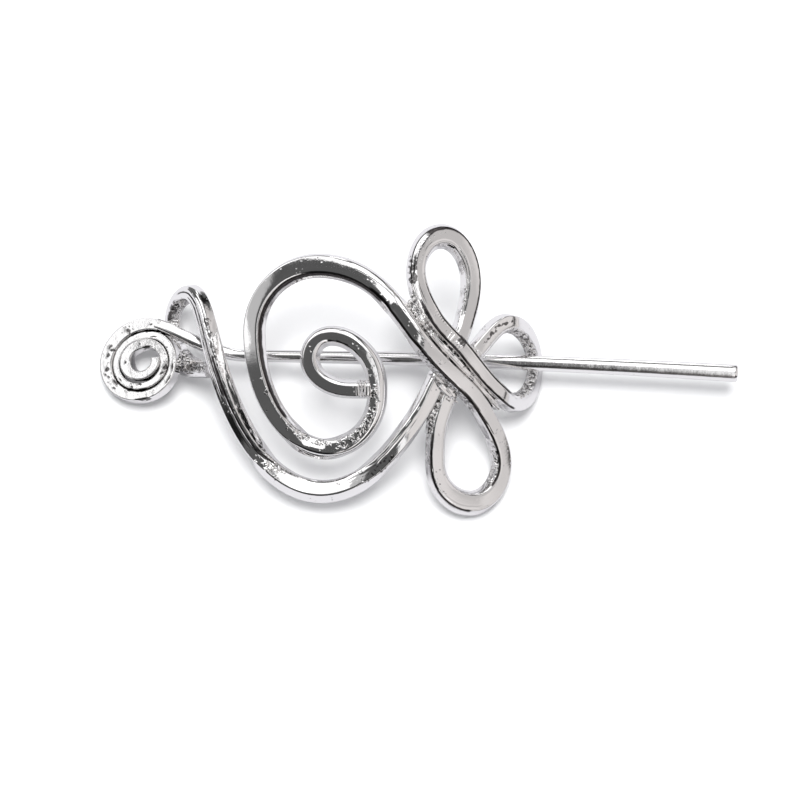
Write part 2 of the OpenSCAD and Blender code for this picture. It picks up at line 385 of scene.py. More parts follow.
def plated(name, wave=0.022, peel=0.006, pit=0.05, haze=0.05):
    """Plated metal. wave, peel and pit are heights in mm, and haze is the plate's roughness."""
    material = bpy.data.materials.new(name)
    metal = Recipe(material)
    place = metal.vector("SCALE", {0: metal.node("ShaderNodeTexCoord", output="Object"), "Scale": 1 / MM})
    crust, ripple, fleck, crease, darkened, line, along, across = (
        metal.node("ShaderNodeAttribute", {"attribute_name": mark}, output="Fac")
        for mark in ("crust", "ripple", "fleck", "crease", "darkened", "line", "along", "across"))

    waves, orange, grit, ragged, pitted = (
        metal.noise(place, *size) for size in (WAVES, ORANGE_PEEL, GRIT, RAGGED, PITTED))
    scattered = {"Vector": place, "Scale": PIT_CELLS, "Randomness": 1.0}
    cells = metal.node("ShaderNodeTexVoronoi", {"feature": "F1"}, scattered)

    # where each kind is, and how strong it is there
    pits = cells.rise(*PIT_EDGE) * pitted.rise(*PITTED_EDGE)
    ripples = ((along + waves * RIPPLE_BEND) * RIPPLE_TURN).sine() * ripple
    folds = ((across + waves * FOLD_BEND) * FOLD_TURN).sine() * crease
    beads = grit * torn(fleck, ragged * 2, least=1.45, soft=0.5, fade=0.3, weight=0.8)
    rough = torn(crust, ragged, least=0.7, soft=0.6, fade=0.3)
    # Darker on the marked patches, and on the head in its dents.
    darker_patches = torn(darkened, ragged * 0.6 + grit, least=1.1, soft=0.2, fade=0.2)
    # Painted dark reflection: black lines along the edges, for the dark ring that a rounded corner mirrors.
    painted_dark_edge = (line + ragged * 0.2 - 0.1).rise(*LINE_EDGE)

    height = waves * wave + orange * peel - pits * pit + ripples * RIPPLE_H + folds * FOLD_H + beads * BEAD_H
    height = height + rough * (grit * CRUST_H + orange * CRUST_PEEL_H)
    dull = pits * 0.4 + (rough + beads) * grit.rise(*HOLLOW_EDGE) * 0.85 + darker_patches
    colour = metal.mix_colour(dull, plate_toned(), plate_toned(DARK_SHARES))
    shader = metal.node("ShaderNodeBsdfPrincipled", None, {
        "Base Color": metal.mix_colour(painted_dark_edge, colour, plate_toned(PAINTED_EDGE_SHARES)), "Metallic": 1.0,
        "Roughness": haze + orange * 0.05 + rough * 0.1,
        "Normal": metal.node("ShaderNodeBump", None, {"Strength": 1.0, "Distance": MM, "Height": height})})
    metal.node("ShaderNodeOutputMaterial", None, {"Surface": shader})
    return material


slide_metal = plated("plated_strand")
stick_metal = plated("plated_stick", wave=0.02, pit=0.0, haze=0.1)
head_metal = plated("plated_hammered_head", wave=0.06, peel=0.016, pit=0.08)
print("materials:", [m.name for m in (slide_metal, stick_metal, head_metal)])

# %% [markdown]
# ## Rounded corners
#
# The strand's corners matter more than its faces: each corner sweeps through every
# direction, so it draws the white and black lines that run along the strand. A bevel
# would give all corners one width. Here each corner of an outline is cut back by its
# own length and bridged by a short curve, so that one edge of the strand can be crisp
# and the other soft, as the polishing left them.

# %% Outlines
def rounded(corners, cuts, points):
    """The outline through corners, with each one cut back by its length and bridged by a curve."""
    outline = []
    corners = [np.array(corner, float) for corner in corners]
    for i, (corner, cut) in enumerate(zip(corners, cuts)):
        if not cut:
            outline.append(corner)
            continue
        before, after = corners[i - 1] - corner, corners[i + 1] - corner
        start = corner + before * cut / np.linalg.norm(before)
        end = corner + after * cut / np.linalg.norm(after)
        for t in np.linspace(0, 1, points):
            outline.append(start * (1 - t) ** 2 + corner * 2 * t * (1 - t) + end * t**2)
    return np.array(outline)


def closed(right, left):
    """A whole outline, from its right half and from its left half given as if it were on the right."""
    return np.vstack([right, (left * [-1, 1])[::-1][1:]])


print("points on a rounded corner:", len(rounded([(0, 0), (1, 0), (1, 1)], [0, 0.3, 0], 5)) - 2)

# %% [markdown]
# ## The strand's cross-section
#
# The strand has a flat face, sloping flanks and a flat back. The outline runs in
# millimetres from the middle of the back round to the same point again, and both
# halves are made alike: the corner of the back, the corner of the face, and the face,
# which rises by a hair towards its middle.

# %% Cross-section
STRAND_T = 2.3
FACE_SHARE, FACE_MORE, RIGHT_FACE_MORE, LEFT_FACE_LESS = 0.54, 0.2, 0.12, 0.02
CROWN_FROM, CROWN_RISE = 0.3, 0.02
BACK_CUT, LEFT_CUT, RIGHT_CUT, CORNER_POINTS = 0.45, 0.3, 0.8, 9


def strand_half(wide, face, cut):
    """Half of a bar's outline. face is the face's half width, and cut says how soft its edge is."""
    h = STRAND_T / 2
    corners = [(0, -h), (wide / 2, -h), (face, h), (CROWN_FROM, h + CROWN_RISE), (0, h + CROWN_RISE)]
    return rounded(corners, [0, BACK_CUT, cut, 0, 0], CORNER_POINTS)


def strand_section(wide, left_cut=LEFT_CUT):
    """The strand's whole outline, in mm. left_cut says how soft its left edge is."""
    face = wide / 2 * FACE_SHARE + FACE_MORE
    right = strand_half(wide, face + RIGHT_FACE_MORE, RIGHT_CUT)
    return closed(right, strand_half(wide, face - LEFT_FACE_LESS, left_cut))


print("points in a cross-section:", len(strand_section(4)))

# %% [markdown]
# ## From cross-sections to a bar
#
# A bar that follows a path could be a curve with a bevel, but then its width and
# thickness would swell together. Here a flat grid is the start instead: one row of the
# grid for each cross-section, laid onto the path and rolled into a tube. In edit mode
# the seam is merged and the two open ends are filled.
#
# An operator acts on whatever is selected, so everything is deselected before the grid
# is added, and the open edges are selected before they are filled.

# %% Wrap a grid into a bar
MERGE, SHARP_FROM, GRID_M = 0.004, 50, 0.01


def wrap_bar(name, rings, material, marks=None):
    """A closed bar through rings, which are lists of points in mm. marks are values per ring and point."""
    rows, columns = len(rings), len(rings[0])
    bpy.ops.object.select_all(action="DESELECT")
    bpy.ops.mesh.primitive_grid_add(x_subdivisions=columns - 1, y_subdivisions=rows - 1, size=GRID_M)
    bar = bpy.context.object
    bar.name = bar.data.name = name
    bar.data.vertices.foreach_set("co", (np.array(rings) * MM).ravel())
    for mark, values in (marks or {}).items():
        layer = bar.data.attributes.new(mark, "FLOAT", "POINT")
        layer.data.foreach_set("value", np.array(values, np.float32).ravel())
    bpy.ops.object.mode_set(mode="EDIT")
    bpy.ops.mesh.select_all(action="SELECT")
    bpy.ops.mesh.remove_doubles(threshold=MERGE * MM)
    bpy.ops.mesh.select_all(action="DESELECT")
    bpy.ops.mesh.select_mode(type="EDGE")
    bpy.ops.mesh.select_non_manifold(extend=False, use_wire=False, use_multi_face=False,
                                     use_non_contiguous=False, use_verts=False)
    bpy.ops.mesh.fill_holes(sides=0)
    bpy.ops.mesh.select_mode(type="VERT")
    bpy.ops.mesh.select_all(action="SELECT")
    bpy.ops.mesh.normals_make_consistent(inside=False)
    bpy.ops.object.mode_set(mode="OBJECT")
    bpy.ops.object.shade_smooth_by_angle(angle=math.radians(SHARP_FROM))
    bar.data.materials.append(material)
    print(name + ":", len(bar.data.vertices), "vertices")
    return bar


print("shaded smooth where faces meet at less than", SHARP_FROM, "degrees")

# %% [markdown]
# ## The domed face
#
# The strand lies on a dome: a roof with a round ridge, whose two ends turn down to the
# table. The dome could be a mesh to shrink the strand onto. A formula is better here,
# because it gives the height and the slope at any place, and the same formula made the
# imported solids, so the two agree everywhere.

# %% Dome
CROWN_H, EDGE_DROP = 16.9, 2.8
RIDGE_X, LEFT_REACH, RIGHT_REACH, EDGE_REACH = -4.25, 42.7, 26.25, 25
ROOF_SLOPE, ROOF_SKEW, RIDGE_ROUND = 0.17, 0.11, 6
LEFT_POWER, RIGHT_POWER, RIGHT_LESS = 5, 7, 2.75
PROBE = 0.1


def roof(t):
    return ROOF_SLOPE * (np.sqrt(t * t + RIDGE_ROUND**2) - RIDGE_ROUND) + ROOF_SKEW * t


def dome(x, y):
    """Height of the domed face over the slide's own base plane, in mm."""
    t = x - RIDGE_X
    left_end = (CROWN_H - roof(-LEFT_REACH)) * (np.maximum(0, -t) / LEFT_REACH) ** LEFT_POWER
    right_end = (CROWN_H - RIGHT_LESS - roof(RIGHT_REACH)) * (np.maximum(0, t) / RIGHT_REACH) ** RIGHT_POWER
    return CROWN_H - roof(t) - left_end - right_end - EDGE_DROP * (1 - np.cos(np.pi * y / EDGE_REACH)) / 2


def unit(rows):
    """Each row scaled to a length of 1."""
    return rows / np.linalg.norm(rows, axis=-1, keepdims=True)


def dome_up(x, y):
    """The direction square to the dome."""
    fall_x = dome(x - PROBE, y) - dome(x + PROBE, y)
    fall_y = dome(x, y - PROBE) - dome(x, y + PROBE)
    return unit(np.stack([fall_x, fall_y, 2 * PROBE + 0 * x], axis=-1))


print("crown height, mm:", round(float(dome(0.0, 0.0)), 2))

# %% [markdown]
# ## The strand's route
#
# The strand is one bar that crosses itself, so its route is a list to follow with a
# finger: the inner spiral, the big spiral, the loops of the crossing, the outer swirl,
# the arm and the small left loop. It could be a curve object drawn by hand, but rows of
# numbers are easier to correct one at a time. Each row is a place where the bend
# changes: x and y on the face, the heading in degrees, the lift over the dome where bars
# cross, and the width.

# %% Route
X, Y, HEADING, LIFT, WIDE = range(5)
ROUTE = [
    (-8.9, -3.75, 180, 0, 3.8), (-12.5, -3.75, 180, 0, 3.8), (-20, 2, 90, 0, 3.9),
    (-16, 6.25, 0, 0, 3.8), (-9, 2, -56, 0, 3.9), (-7.5, -4.5, -90, 0, 3.9),
    (-16.5, -14.5, 180, 0, 4.2), (-30.5, 7, 90, 0, 4.5), (-18.5, 19.25, 0, 0, 4.8),
    (-6.5, 14.25, -45, 0.2, 4.4), (1, 4.5, -52, 1.05, 4.2), (7.25, -2, -42, 1.05, 4.2),
    (12, -7.5, -60, 0.6, 4.2), (15.75, -17.25, -90, 0.3, 4.3), (10, -24.75, 180, 0.8, 4.9),
    (3.25, -17.25, 90, 0.3, 4.0), (4, -9.25, 74, -0.6, 3.9), (7, -2, 62, -1.05, 3.9),
    (11.75, 4.5, 50, -0.6, 3.9), (17, 8.75, 0, 0, 3.9), (22.25, 0.5, -90, 0, 3.9),
    (18.25, -6.25, 180, 0, 3.9), (14.5, -3.75, 138, 0.7, 4.0), (8.25, 3.5, 130, 1.05, 4.2),
    (2.75, 9.5, 121, 1.05, 4.2), (-0.25, 18.25, 90, 0, 3.9), (4.5, 24.75, 0, 0, 5),
    (10, 16, -90, 0, 4.1), (8.5, 8.25, -107, -0.6, 3.9), (5.25, 1.5, -120, -1.05, 3.9),
    (1.75, -5.5, -117, -0.7, 3.9), (-3, -12.75, -127, 0, 4.2), (-17.75, -22.25, 180, -1.2, 4.6),
    (-29, -16.25, 130, -0.4, 4.4), (-36.25, -2.75, 110, 0, 4.2), (-39.75, 9, 106, 0, 3.9),
    (-43.25, 14.5, 180, 0, 3.8), (-47, 8.75, -90, 0, 3.8), (-46.25, 3.5, -80, 0, 3.6),
    (-42.75, 0, 0, -0.6, 3.2), (-39, 0, 0, -0.9, 3.2),
]
print("places on the route:", len(ROUTE))

# %% [markdown]
# ## Bends between the places
#
# Straight pieces would show as corners in a mirror-bright face, so a cubic curve runs
# from each place to the next. Its handles have the length that makes an even turn a round
# arc, which is how a bar bends around a peg. The curve is cut into short steps, each one
# a station where a cross-section will stand.

# %% Stations
STEP, CURVE_OVER_CHORD, LEAST_STEPS = 0.3, 1.1, 3
STRAIGHT_UNDER, ROUTE_PASSES = 0.02, 5


def cubic(p, t):
    """The point at t, from 0 to 1, of a curve from p[0] to p[3] that is drawn towards p[1] and p[2]."""
    return p[0] * (1 - t) ** 3 + p[1] * 3 * t * (1 - t) ** 2 + p[2] * 3 * t * t * (1 - t) + p[3] * t**3


def way_of(degrees):
    """The direction at an angle: the angle's cosine and sine."""
    return np.array([math.cos(math.radians(degrees)), math.sin(math.radians(degrees))])


def span(a, b):
    """Points from row a to just before row b: a cubic curve whose quarter turns are quarter ellipses."""
    turn = math.radians(abs((b[HEADING] - a[HEADING] + 540) % 360 - 180))
    handle = 1 / 3 if turn < STRAIGHT_UNDER else 4 / 3 * math.tan(turn / 4) / math.sin(turn)
    start, end = (np.array([row[X], row[Y]], float) for row in (a, b))
    leave, arrive = way_of(a[HEADING]), way_of(b[HEADING])
    chord = end - start
    p = [start, start + leave * (chord @ leave) * handle, end - arrive * (chord @ arrive) * handle, end]
    count = max(LEAST_STEPS, round(np.linalg.norm(chord) * CURVE_OVER_CHORD / STEP))
    points = []
    for t in np.arange(count) / count:
        mix = t * t * (3 - 2 * t)
        points.append([*cubic(p, t), *(a[k] + (b[k] - a[k]) * mix for k in (LIFT, WIDE))])
    return points


def smoothed(values, passes):
    """Evens out a list of rows, and keeps its ends."""
    values = np.array(values, float)
    for _ in range(passes):
        values[1:-1] = 0.25 * values[:-2] + 0.5 * values[1:-1] + 0.25 * values[2:]
    return values


def route_points(rows):
    """Stations along a route: x, y, lift and width of each."""
    points = [p for a, b in zip(rows, rows[1:]) for p in span(a, b)]
    points.append([rows[-1][k] for k in (X, Y, LIFT, WIDE)])
    return smoothed(points, ROUTE_PASSES)


stations = route_points(ROUTE)
print("cross-sections along the strand:", len(stations))

# %% [markdown]
# ## Uneven by hand
#
# Nothing bent by hand is quite even, and a mirror shows it. `wander` makes smooth random
# numbers, which change slowly from one cross-section to the next. The seed fixes them,
# so the slide comes out the same each time.

# %% Slow random numbers
KERNEL_REACH = 3


def wander(count, reach, seed):
    """Three rows of smooth random numbers around 0, which change over about reach steps."""
    margin = KERNEL_REACH + 1
    values = np.random.RandomState(seed).normal(size=(3, count + 2 * margin * reach))
    steps = np.arange(-KERNEL_REACH * reach, KERNEL_REACH * reach + 1)
    kernel = np.exp(-0.5 * (steps / reach) ** 2)
    values = np.array([np.convolve(v, kernel, "same")[margin * reach:-margin * reach] for v in values])
    return values / values.std(axis=1, keepdims=True)


SWAY_REACH, SWAY_SEED = 12, 5
sway = wander(len(stations), SWAY_REACH, SWAY_SEED)
print("furthest sway either way:", round(float(np.abs(sway[:2]).max()), 2))

# %% [markdown]
# ## Laying the cross-sections on the dome
#
# At each station the cross-section stands square to the strand, and its face looks
# along the dome's own normal. The slide is then tipped by its lean and set down on the
# table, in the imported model's frame.

# %% From the slide's own frame to the table
SLIDE_FLOOR = -0.1335
ORIGIN = np.array([-0.1, -3.65, 0])
WAY_PASSES, UP_PASSES = 2, 6
AT_LIFT, AT_WIDE = 2, 3  # columns of a station, after its x and y


def on_table(points):
    """Points of the slide, leaned over and stood on the table, in mm."""
    cos, sin = way_of(LEAN)
    x, y, z = np.moveaxis(np.asarray(points, float), -1, 0)
    return np.stack([x, y * cos - z * sin, y * sin + z * cos - SLIDE_FLOOR], axis=-1) - ORIGIN


def lay_strand(points, section_of, turn_at=None):
    """Rings of a strand on the table, and the path's length at each. turn_at gives turns in degrees."""
    x, y = points[:, 0], points[:, 1]
    middles = np.stack([x, y, dome(x, y) + points[:, AT_LIFT]], axis=1)
    ways = unit(smoothed(unit(np.gradient(middles, axis=0)), WAY_PASSES))
    sides = unit(np.cross(ways, smoothed(dome_up(x, y), UP_PASSES)))
    ups = np.cross(sides, ways)
    length = np.concatenate([[0], np.cumsum(np.linalg.norm(np.diff(middles, axis=0), axis=1))])
    turns = turn_at(length) if turn_at else np.zeros(len(points))
    rings = []
    for i in range(len(points)):
        sideways, upwards = section_of(i, length[i]).T[:, :, None]
        cos, sin = way_of(turns[i])
        to_side, to_face = sideways * cos - upwards * sin, sideways * sin + upwards * cos
        rings.append(middles[i] + to_side * sides[i] + to_face * ups[i])
    return on_table(rings), length


print("the slide is tipped by", LEAN, "degrees")

# %% [markdown]
# ## Turns and soft edges
#
# A hand-bent strand never lies quite square to its dome, and a few degrees decide
# whether its face mirrors the dark room or a bright wall. `TURNED` turns the
# cross-section about the strand, and `LEFT_SOFT` says how soft the strand's left edge
# is. Both are pairs: a distance along the strand in millimetres, and the turn in
# degrees or the edge's cut in millimetres there.

# %% Lay the strand
TURNED = [
    (0, 0), (48, 0), (52, -24), (55.5, -24), (58.5, 0), (114, 0), (115.5, -14), (121.5, -14), (124, 0),
    (250, 0), (255, -7), (262, -7), (268, 0), (308, 0), (314, -5), (320, -6), (323, -4),
    (328, -27), (346, -27), (350, 0), (412, 0),
]
LEFT_SOFT = [
    (0, 0.35), (14, 0.35), (20, 0.9), (54, 0.8), (60, 0.3), (96, 0.3), (102, 0.8), (122, 0.6), (128, 0.3),
    (258, 0.3), (263, 0.9), (269, 0.9), (274, 0.3), (412, 0.3),
]
TURN_SWAY, WIDTH_SWAY = 1.6, 0.018


def read_off(pairs, at):
    """The value at a distance, on straight lines between the pairs."""
    return np.interp(at, *zip(*pairs))


def strand_turn(at):
    return read_off(TURNED, at) + sway[0] * TURN_SWAY


def section_at(i, at):
    return strand_section(stations[i, AT_WIDE] * (1 + WIDTH_SWAY * sway[1][i]), read_off(LEFT_SOFT, at))


rings, length = lay_strand(stations, section_at, strand_turn)
print("length of the strand, mm:", round(float(length[-1]), 1))

# %% [markdown]
# ## Rough and smooth stretches
#
# The strand is not equally smooth all along. Solder left a crust on the flanks where
# bars meet, the inside of each tight loop was never reached by the polishing wheel, and
# some stretches of the face carry beads, file marks, folds or darker patches. Along
# some edges runs a black line, a painted dark reflection.
#
# Each kind is a number in every vertex, 0 for none and about 1 for strong, kept as an
# attribute that the material reads. A row gives a stretch along the strand, from and to
# in millimetres, a stretch across it, from -1 at the left edge to 1 at the right edge,
# and how strong the mark is.

# %% Lists of marks
CRUSTY = [
    (124, 139, 0.75, 1, 0.9), (146, 157, 0.6, 1, 0.45), (174, 187, -1, -0.65, 0.7), (192, 197, -1, 1, 0.6),
    (205, 229, 0.55, 1, 0.9), (231, 258, -1, -0.75, 0.6), (284, 294, 0.6, 1, 0.35), (302, 312, -1, -0.7, 0.7),
    (387, 399, -1, -0.45, 0.6), (399, 412, -1, 0.2, 1),
]
FLECKED = [
    (22, 32, -0.2, 0.7, 0.35), (32, 50, -0.2, 0.9, 0.85), (49, 60, 0.0, 0.9, 0.7), (62, 72, 0.1, 0.7, 0.5),
    (93, 96, -0.3, 0.5, 0.5), (105, 116, -0.6, 0.6, 0.25), (116, 130, -0.7, 0.2, 0.35),
    (323, 329, -0.7, 0.7, 0.4), (343, 349, -0.7, 0.7, 0.7),
]
RIPPLED = [
    (0.5, 2.2, -1, 1, 2.6), (246.8, 248.4, -0.1, 0.9, 0.9), (249, 250.2, -0.5, 0.3, 0.6),
    (252, 255, 0.3, 0.8, 0.5),
]
CREASED = [
    (2, 62, 0.5, 0.95, 0.5), (5, 60, -1, -0.7, 0.5), (108, 126, -0.9, -0.45, 0.8), (118, 145, 0.45, 0.9, 1),
    (134, 170, 0.5, 0.9, 0.6), (163, 182, -1, -0.5, 1.4), (232, 262, -1, -0.5, 0.9),
    (232, 262, 0.5, 0.95, 0.9), (262, 300, -1, -0.7, 0.6), (270, 296, 0.4, 0.9, 1.3),
    (309, 328, 0.1, 0.7, 0.6), (328, 348, 0.55, 0.9, 0.8), (346, 364, 0.1, 0.9, 1.1),
    (362, 384, -0.4, 0.9, 1.1),
]
# Patches where the strand's colour is drawn darker.
DARKENED_PATCHES = [
    (199, 206, -0.25, 0.1, 0.6), (366, 377, 0.45, 0.75, 0.5), (388, 394, -0.8, -0.4, 0.7),
    (92, 96, 0.7, 0.9, 0.5), (186, 190, -0.5, 0.6, 0.35), (261, 266, -0.75, -0.45, 0.6),
    (318, 327, -0.8, 0.2, 0.25), (400, 411, -0.9, 0.2, 0.35), (246.8, 248.2, 0.1, 0.7, 1.2),
]
# Painted dark reflections: stretches of edge drawn black, as a rounded corner looks where it mirrors the dark
# ring.
PAINTED_DARK_EDGES = [
    (271, 292, -0.6, -0.52, 1), (164, 179, -0.64, -0.56, 1), (140, 157, 0.58, 0.66, 1),
    (62, 112, 0.67, 0.8, 1), (110, 142, 0.5, 0.64, 1), (232, 257, -0.6, -0.5, 1), (234, 258, 0.5, 0.6, 1),
    (346, 368, 0.29, 0.39, 1), (362, 386, 0.0, 0.1, 1), (350, 384, -0.42, -0.36, 1),
]
KINDS = {"crust": CRUSTY, "fleck": FLECKED, "ripple": RIPPLED,
         "crease": CREASED, "darkened": DARKENED_PATCHES, "line": PAINTED_DARK_EDGES}
print("marks on the strand:", {kind: len(rows) for kind, rows in KINDS.items()})

# %% [markdown]
# ## Painting the marks
#
# Painting by brush would do for one slide, but it couldn't be repeated after a change of
# the route. So each mark is worked out in the strand's own coordinates, along and
# across, with soft borders, and the stronger one counts where two overlap.

# %% Mark the strand
SOFT_ALONG, SOFT_ACROSS = 6, 0.3


def painted(stretches, along, across):
    """The strength of a mark at each point, with soft borders."""
    strengths = np.zeros_like(along)
    for start, end, left, right, strength in stretches:
        fade = min(SOFT_ALONG, (end - start) / 3)
        inside = 0.5 + np.minimum.reduce([(along - start) / fade, (end - along) / fade,
                                          (across - left) / SOFT_ACROSS, (right - across) / SOFT_ACROSS])
        strengths = np.maximum(strengths, np.clip(inside, 0, 1) * strength)
    return strengths


along = np.repeat(length[:, None], rings.shape[1], axis=1)
across = np.array([strand_section(wide)[:, 0] for wide in stations[:, AT_WIDE]])
share = across / (stations[:, [AT_WIDE]] / 2)
marks = {kind: painted(rows, along, share) for kind, rows in KINDS.items()}
strand = wrap_bar("slide_strand", rings, slide_metal, {"along": along, "across": across, **marks})

# %% [markdown]
# ## Solder
#
# Where bars run side by side or cross, the casting is filled with solder. It could be
# one lump by a sculpting brush, but a low, lumpy bar on its own short route is easier to
# repeat. The long one lies in the groove between the two bars of the crossing, so its
# route is worked out from theirs: halfway between a point of one bar and the nearest
# point of the other.

# %% Solder
GROOVE_SUNK, GROOVE_LEAST, GROOVE_MOST, GROOVE_PASSES = 0.25, 0.5, 2.4, 20
FACES_TAKE = 3.2
LUMP_REACH, LUMP_LIFT, LUMP_WIDTH, LUMP_CRUST = 3, 0.07, 0.06, 0.4
END_RINGS, END_LEAST = 10, 0.1
TOP_SHARE, FOOT_CUT, TOP_CUT, FILL_POINTS = 0.8, 0.1, 0.3, 5


def between(first, second):
    """Stations halfway between two stretches of the strand, as wide as the gap between their faces."""
    a, b = (stations[(length >= start) & (length <= end)] for start, end in (first, second))
    pairs = b[np.argmin(np.hypot(a[:, None, 0] - b[None, :, 0], a[:, None, 1] - b[None, :, 1]), axis=1)]
    gap = np.hypot(a[:, 0] - pairs[:, 0], a[:, 1] - pairs[:, 1])
    middle = (a + pairs) / 2
    middle[:, AT_LIFT] -= GROOVE_SUNK
    middle[:, AT_WIDE] = np.clip(gap - FACES_TAKE, GROOVE_LEAST, GROOVE_MOST)
    return smoothed(middle, GROOVE_PASSES)


def fill_section(wide, thick):
    """A fill's outline, in mm: narrower on top, with soft edges there."""
    corners = [(0, -thick / 2), (wide / 2, -thick / 2), (wide / 2 * TOP_SHARE, thick / 2), (0, thick / 2)]
    half = rounded(corners, [0, FOOT_CUT, TOP_CUT, 0], FILL_POINTS)
    return closed(half, half)


def solder(name, points, thick, seed, ridges=0.8, rough=0.6):
    """A lumpy bar with round ends. ridges and rough say how strong its folds and its crust are."""
    lumps = wander(len(points), LUMP_REACH, seed)
    from_start = np.arange(len(points))
    ends = np.sqrt(np.clip(np.minimum(from_start, from_start[::-1]) / END_RINGS, END_LEAST, 1))
    points = points.copy()
    points[:, AT_LIFT] += lumps[0] * LUMP_LIFT
    widths = points[:, AT_WIDE] * ends * (1 + lumps[1] * LUMP_WIDTH)
    sections = [fill_section(wide, thick) for wide in widths]
    rings, length = lay_strand(points, lambda i, at: sections[i])
    ones = np.ones(rings.shape[:2])
    crust = np.clip(rough + LUMP_CRUST * lumps[2], 0, 1)[:, None] * ones
    across = np.array([section[:, 0] for section in sections])
    marks = {"crust": crust, "crease": ones * ridges, "along": length[:, None] * ones, "across": across}
    return wrap_bar(name, rings, slide_metal, marks)


WEB = [(3.5, -6, -110, -1.0, 3), (2.75, -9.5, -108, -1.0, 2.5), (1.5, -11.75, -112, -1.0, 1.5)]
FILLET = [(2.2, -0.9, -52, -0.2, 1.1), (4.9, -4.0, -45, -0.25, 1.5), (6.9, -6.0, -47, -0.4, 1.2)]
CORNER = [(-46.3, 6.2, -80, -0.2, 2.4), (-44.6, 2.6, -50, -0.3, 3.2), (-41, 1.5, 0, -1.0, 2.6)]
UPPER_BAR, LOWER_BAR = (115, 143), (232, 262)
fills = [
    solder("solder_groove", between(UPPER_BAR, LOWER_BAR), thick=1.5, seed=3, ridges=1.3, rough=0.35),
    solder("solder_web", route_points(WEB), thick=1.9, seed=4),
    solder("solder_fillet", route_points(FILLET), thick=1.6, seed=6),
    solder("solder_corner", route_points(CORNER), thick=1.8, seed=8),
]

# %% [markdown]
# ## Where the stick's parts are
#
# The stick is one casting: a round shank that thickens towards its blunt tip and bows a
# little sideways, and a spiral head to the left of the slide, which is tipped down to
# the left and towards the viewer. Both have a formula for their places, so that the
# neck between them can start and end exactly where they do.

# %% Places on the stick
NECK_R, TIP_R, UNDER_H, BOW = 1.1, 1.65, 4.9, 0.6
SHANK_X, TIP_X, SHANK_Y, SHANK_TURN = -32, 59.75, 0.8, -2.3
HEAD_AT, HEAD_STRETCH, HEAD_LEFT, HEAD_LOW = np.array([-52, -0.2, 4.5]), 1.05, 19, 9
HEAD_R, HEAD_FROM = 7.8, 68


def on_head(u, v, h):
    """A point of the head: u to the right and v up from its middle, and h over its mid plane."""
    cos, sin = way_of(HEAD_LEFT)
    x, z = u * HEAD_STRETCH * cos - h * sin, u * HEAD_STRETCH * sin + h * cos
    cos, sin = way_of(HEAD_LOW)
    return HEAD_AT + [x, v * cos - z * sin, v * sin + z * cos] - ORIGIN


def head_rim(degrees):
    """The place on the head's mid plane where the outer turn is met, in a direction from its middle."""
    return on_head(*(way_of(degrees) * HEAD_R), 0)


def shank_radius(t):
    """The shank's radius, from the neck at 0 to the tip at 1."""
    return NECK_R + (TIP_R - NECK_R) * t


def shank_point(t):
    """The shank's middle, from the neck at 0 to the tip at 1."""
    reach = (TIP_X - SHANK_X) * t
    y = SHANK_Y + reach * math.tan(math.radians(SHANK_TURN)) + BOW * 4 * t * (1 - t)
    return np.array([SHANK_X + reach, y, UNDER_H + shank_radius(t)]) - ORIGIN


print("shank, mm:", round(float(np.linalg.norm(shank_point(1) - shank_point(0))), 1))

# %% [markdown]
# ## The shank and its neck
#
# Beside the slide's left loop the shank bends up into the head, and on the way the
# hammer has made it flat on top. A cylinder with a bent bar joined to it would show a
# seam. One bar through rings has none: the rings are circles along the shank, and turn
# into squarer ones along the neck. The first four rings round off the edge of the tip.

# %% Shank and neck
NECK_PULL, HEADING_STEP, SHANK_STEP = 6.5, 2, 0.05
SHANK_RINGS, NECK_RINGS, FLAT_AFTER, RING_SIDES = 150, 40, 25, 32
ROUND, FLATTENED = 2, 4
TIP_EDGE = [(0, 0), (0, 0.75), (0.05, 0.9), (0.18, 0.98)]
SMALLEST_R = 0.02


def bar_ring(middle, way, r, power=ROUND):
    """A ring square to the way: a circle at power 2, and squarer with a flat top above it."""
    side = unit(np.cross(unit(way), [0, 0, 1]))
    up = np.cross(side, unit(way))
    turns = np.linspace(0, 2 * math.pi, RING_SIDES + 1)
    circle = np.array([np.cos(turns), np.sin(turns)])
    sideways, upwards = (np.sign(circle) * np.abs(circle) ** (2 / power))[:, :, None]
    return middle + r * (sideways * side + upwards * up)


neck_start, neck_end = shank_point(0), head_rim(HEAD_FROM)
shank_way = unit(neck_start - shank_point(SHANK_STEP))
head_way = unit(head_rim(HEAD_FROM + HEADING_STEP) - head_rim(HEAD_FROM - HEADING_STEP))
neck = [neck_start, neck_start + NECK_PULL * shank_way, neck_end - NECK_PULL * head_way, neck_end]

path = [(shank_point(t), shank_radius(t)) for t in np.linspace(1, 0, SHANK_RINGS)]
path += [(cubic(neck, t), NECK_R) for t in np.linspace(0, 1, NECK_RINGS)[1:]]
spots, radii = np.array([spot for spot, r in path]), [r for spot, r in path]
ways = np.gradient(spots, axis=0)
powers = np.interp(np.arange(len(path)), [SHANK_RINGS, SHANK_RINGS + FLAT_AFTER], [ROUND, FLATTENED])
tip_way = unit(ways[0])
stick_rings = [bar_ring(spots[0] + tip_way * into, tip_way, max(SMALLEST_R, TIP_R * wide))
               for into, wide in TIP_EDGE]
stick_rings += [bar_ring(spots[i], ways[i], radii[i], powers[i]) for i in range(1, len(path))]
shank = wrap_bar("stick_shank", stick_rings, stick_metal)

# %% [markdown]
# ## The ribbon of the head
#
# The head is the shank's end, forged flat and rolled up tightly: a broad outer turn, a
# narrow one sunk between its neighbours, and a broad inner one that ends in a little
# hook. A spiral by formula would be too even. So `TURNS` says, in millimetres, how far
# the ribbon's middle is from the head's middle at each angle, how wide the ribbon is
# there, and how high its face stands.

